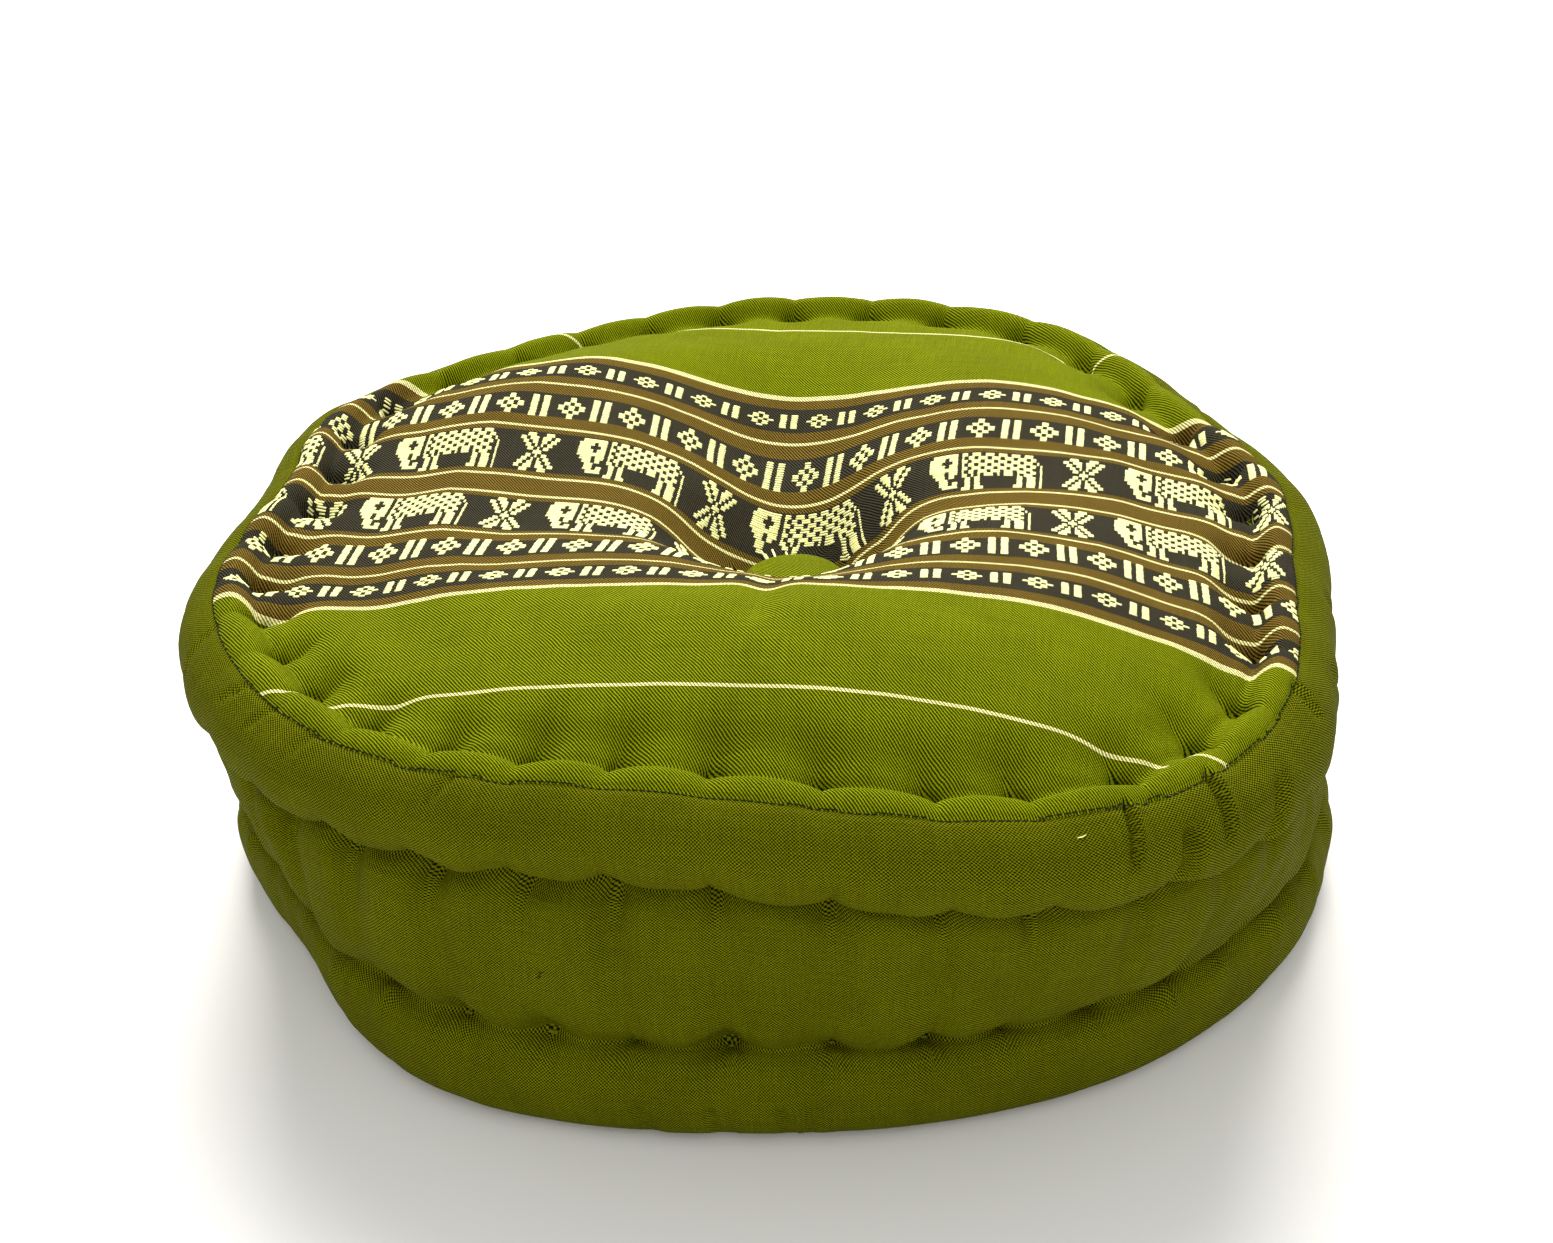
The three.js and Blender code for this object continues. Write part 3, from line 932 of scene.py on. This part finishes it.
def ring_path(offset, section, angles):
    """Points of one section's ring at some angles, on the even cover, in the row frame."""
    row = {name: np.array([[float(value)]]) for name, value in SECTIONS[section].items()}
    turned, starts = np.array(angles, float), np.array(TUFT_ANGLES)
    tuft = np.searchsorted(starts, turned % 360, side="right") - 1
    share = (turned - starts[tuft]) % 360 / (NEXT_TUFTS - starts)[tuft]
    return cover_points(row, turned, share)[0] + offset


SEAM_STITCHES = 520
STITCH_FILL = 0.84  # a stitch's length as a share of the pitch
STITCH_SHIFT = 0.05  # degrees, at most
SEAM_THREAD = 0.3
TUFT_THREAD = 0.22
# Heights of a stitch over the cloth, by places along it.
SEAM_STITCH = {0: -0.12, 0.3: 0.16, 0.7: 0.16, 1: -0.12}
TUFT_STITCH = {-1: -0.3, -0.45: 0.3, 0.45: 0.3, 1: -0.3}
TUFT_STITCH_HALF = (0.22, 0.34)  # degrees, shortest and longest
TUFT_STITCH_SLANT = 0.5  # how far an end lies up or down, at most
TUFT_STITCH_ROWS = (-0.2, 0.2)  # heights of its two threads


def seam_stitches(skin, offset, material):
    """The dark running stitches that join the top panel to the side wall."""
    verts, faces = [], []
    rng = random.Random(SEED + 1)
    for k in range(SEAM_STITCHES):
        start = 360 * k / SEAM_STITCHES + rng.uniform(-STITCH_SHIFT, STITCH_SHIFT)
        length = 360 / SEAM_STITCHES * STITCH_FILL
        points = ring_path(offset, "top seam", [start + length * along for along in SEAM_STITCH])
        lay_thread(verts, faces, skin, points, SEAM_STITCH.values(), SEAM_THREAD, 5)
    return make_mesh("seam_stitches", verts, faces, None, [material])


def tuft_stitches(skin, offset, material):
    """A short doubled stitch in each tuft of the three rows."""
    verts, faces = [], []
    rng = random.Random(SEED + 2)
    for section in PITS:
        for at in TUFT_ANGLES:
            for row in TUFT_STITCH_ROWS:
                half = rng.uniform(*TUFT_STITCH_HALF)
                slant = rng.uniform(-TUFT_STITCH_SLANT, TUFT_STITCH_SLANT)
                points = ring_path(offset, section, [at + half * along for along in TUFT_STITCH])
                rises = [row + slant * along for along in TUFT_STITCH]
                lay_thread(verts, faces, skin, points, TUFT_STITCH.values(), TUFT_THREAD, 6, rises)
    return make_mesh("tuft_stitches", verts, faces, None, [material])


BUTTON_RINGS = 16
BUTTON_SIDES = 96
BUTTON_RIM = 3.4  # height at which the dome begins
BUTTON_FULLNESS = 0.9  # power below 1 for a dome fuller than an ellipse
# Rings below the rim: how far in, height, and half depth of the gathers.
BUTTON_UNDER = ((0.2, 2.3, 0.15), (0.9, 1.3, 0.3), (2.2, 0.5, 0.4), (4.5, 0.0, 0.4))
BUTTON_PLEATS = 18
BUTTON_DENT = 0.12  # depth of its dents
BUTTON_CLOTH_TURN = -0.12  # radians that the button's weave is turned from the top's
BUTTON_CLOTH_STRETCH = 1.02


def covered_button(offset, material):
    """The domed button: cloth drawn over a former, with small gathers below its rim."""
    radius, thickness = BUTTON["radius"], BUTTON["thickness"]
    profile = []
    for k in range(1, BUTTON_RINGS + 1):
        turn = math.pi / 2 * (1 - k / BUTTON_RINGS)
        up = BUTTON_RIM + (thickness - BUTTON_RIM) * math.sin(turn)
        profile.append((radius * math.cos(turn) ** BUTTON_FULLNESS, up, 0.0))
    profile += [(radius - inset, up, gather) for inset, up, gather in BUTTON_UNDER]
    weave_cos, weave_sin = math.cos(BUTTON_CLOTH_TURN), math.sin(BUTTON_CLOTH_TURN)
    verts, uvs = [], []
    for out, up, gather in profile:
        for k in range(BUTTON_SIDES):
            turn = 2 * math.pi * k / BUTTON_SIDES
            cos, sin = math.cos(turn), math.sin(turn)
            wave = gather * math.cos(BUTTON_PLEATS * turn + 0.6 * math.sin(3 * turn))
            dent = BUTTON_DENT * noise.noise(Vector((cos * out, sin * out, 5)) / 5)
            verts.append((cos * (out + wave), sin * (out + wave), up + dent))
            u, v = cos * out, sin * out * BUTTON_CLOTH_STRETCH
            uvs.append((u * weave_cos - v * weave_sin, u * weave_sin + v * weave_cos))
    verts += [(0, 0, thickness), (0, 0, 0)]
    uvs += [(0, 0), (0, 0)]
    top, bottom = len(verts) - 2, len(verts) - 1
    last = (len(profile) - 1) * BUTTON_SIDES
    faces = []
    for k in range(BUTTON_SIDES):
        after = (k + 1) % BUTTON_SIDES
        faces.append((top, k, after))
        for ring in range(0, last, BUTTON_SIDES):
            faces.append((ring + k, ring + BUTTON_SIDES + k, ring + BUTTON_SIDES + after, ring + after))
        faces.append((bottom, last + after, last + k))
    tilt = -math.radians(SEAT["tilt"])
    cos, sin = math.cos(tilt), math.sin(tilt)
    seat = seat_centre() + offset + np.array([0, 0, BUTTON["gap"]])
    placed = [(x * cos + z * sin + seat[0], y + seat[1], -x * sin + z * cos + seat[2]) for x, y, z in verts]
    loops = [uvs[v] for face in faces for v in face]
    return make_mesh("covered_button", placed, faces, loops, [material])


# Lint and loose ends caught on the cover: angle, height, length, direction in degrees, and colour.
LINT = (
    (293.0, 137.0, 3.0, 8, "cream"),
    (238.5, 47.0, 5.0, 35, "green"),
    (247.0, 72.0, 3.0, 80, "dark"),
)
LINT_REACH = 215  # from the middle to just off the side wall
LINT_POINTS = 7
LINT_BEND = 0.25
LINT_LIFT = 0.25
LINT_RADIUS = 0.17


def lint(skin, offset, materials):
    """Small stray fibres that lie on the side wall."""
    found = []
    for k, (at, height, length, turn, colour) in enumerate(LINT):
        verts, faces = [], []
        around, turn = math.radians(at), math.radians(turn)
        cos, sin, level = math.cos(around), math.sin(around), math.cos(turn)
        middle = Vector((cos * LINT_REACH, sin * LINT_REACH, height)) + Vector(offset)
        points = []
        for s in np.linspace(-0.5, 0.5, LINT_POINTS):
            rise = math.sin(turn) + LINT_BEND * math.sin(5 * s + k)
            points.append(middle + Vector((-sin * level, cos * level, rise)) * (length * s))
        lay_thread(verts, faces, skin, points, [LINT_LIFT] * LINT_POINTS, LINT_RADIUS, 5)
        found.append(make_mesh(f"lint_{k + 1}", verts, faces, None, [materials[colour]]))
    return found


def dress(piece, slot_name, *nodes):
    """Lets a piece ride on the body and stand for some of the solids. The slot's name is not used."""
    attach(piece, "root")
    if nodes:
        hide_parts(*nodes)


def make_cushion():
    verts, faces, uvs, panels = build_cover()
    low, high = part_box("cushion")
    middle = (np.array(low) + np.array(high)) / 2 / MM
    offset = np.zeros(3)
    offset[:2] = middle[:2] - (verts.min(0) + verts.max(0))[:2] / 2
    wall = plain_cloth("two_tone_cotton", WALL_GREEN, WALL_TWILL, 0.88)
    base = plain_cloth("plain_base_cotton", WALL_GREEN, WALL_TWILL, 0.9)
    cover = make_mesh("cushion_cover", verts + offset, faces, uvs, [top_cloth(), wall, base], panels)
    dress(cover, "cover_cloth", "cushion")

    surface = Surface(cover, TOP_PANEL)
    cream = thread("cream_floats", srgb(255, 252, 176))
    animals = float_mesh("woven_elephants", walking_floats(), surface, cream)
    diamonds = float_mesh("woven_diamonds", diamond_floats(), surface, cream)
    skin = skin_of(cover)
    dark = thread("dark_green_thread", srgb(30, 38, 12))
    tuft_thread = thread("green_thread", srgb(104, 118, 18))
    seam = seam_stitches(skin, offset, dark)
    tufts = tuft_stitches(skin, offset, tuft_thread)
    button = covered_button(offset, plain_cloth("button_cotton", GREEN, TWILL, 0.82, 0.04))
    dress(button, "button_cloth", "button")
    fibres = {"cream": cream, "green": tuft_thread, "dark": dark}
    for piece in [animals, diamonds, seam, tufts] + lint(skin, offset, fibres):
        dress(piece, "cover_cloth")
    return offset


# The photograph's camera: focal length in its pixels, place in millimetres and tilt down in degrees.
FRAME_WIDTH = 1553
FOCAL = 2500
SENSOR = 36
CAMERA_PLACE = (-5, -800, 570)
CAMERA_PITCH = 30.7


def make_camera(offset):
    camera = bpy.data.cameras.new("camera")
    camera.sensor_width = SENSOR
    camera.lens = SENSOR * FOCAL / FRAME_WIDTH
    camera.clip_start = 0.01
    rig = add_object("camera", camera)
    rig.location = (Vector(CAMERA_PLACE) + Vector(offset)) * MM
    rig.rotation_euler = (math.radians(90 - CAMERA_PITCH), 0, 0)
    bpy.context.scene.camera = rig


# Soft lights: place and aim in metres, width, power in watts and colour.
LIGHTS = {
    "key": ((0.0, 1.3, 1.9), (0, 0, 0.1), 1.6, 96, (1.0, 0.99, 0.97)),
    "fill": ((0.1, -1.9, 1.4), (0, 0, 0.1), 1.6, 16, (1.0, 0.98, 0.96)),
    "left": ((-2.0, -0.4, 1.0), (0, 0, 0.1), 1.4, 1, (1.0, 0.98, 0.95)),
}
FLOOR_SIZE = 6
FLOOR_COLOUR = srgb(244, 241, 236)
SKY = (0.95, 0.97, 1.0, 1)
SKY_STRENGTH = 0.7


def make_studio():
    bpy.context.scene.view_settings.view_transform = "Standard"
    for name, (place, aim, width, power, colour) in LIGHTS.items():
        light = bpy.data.lights.new(name, "AREA")
        light.size = width
        light.energy = power
        light.color = colour
        lamp = add_object(name, light)
        lamp.location = place
        lamp.rotation_euler = (Vector(aim) - Vector(place)).to_track_quat("-Z", "Y").to_euler()
    world = bpy.data.worlds.new("studio")
    world.use_nodes = True
    background = world.node_tree.nodes["Background"]
    background.inputs[0].default_value = SKY
    background.inputs[1].default_value = SKY_STRENGTH
    bpy.context.scene.world = world
    half = FLOOR_SIZE / 2 / MM
    corners = [(-half, -half, 0), (half, -half, 0), (half, half, 0), (-half, half, 0)]
    nodes = Nodes("pale_floor")
    place = nodes.add("ShaderNodeTexCoord").outputs["Object"]
    colour = nodes.shade(FLOOR_COLOUR, nodes.tone(nodes.noise(place, scale=2, detail=3), 0.97, 1.0))
    normal = nodes.bump(nodes.noise(place, scale=60), distance=0.0002, strength=0.2)
    material = nodes.finish(colour, normal, 0.7)
    floor = make_mesh("floor", corners, [(0, 1, 2, 3)], None, [material], smooth=False)


offset = make_cushion()
make_camera(offset)
make_studio()
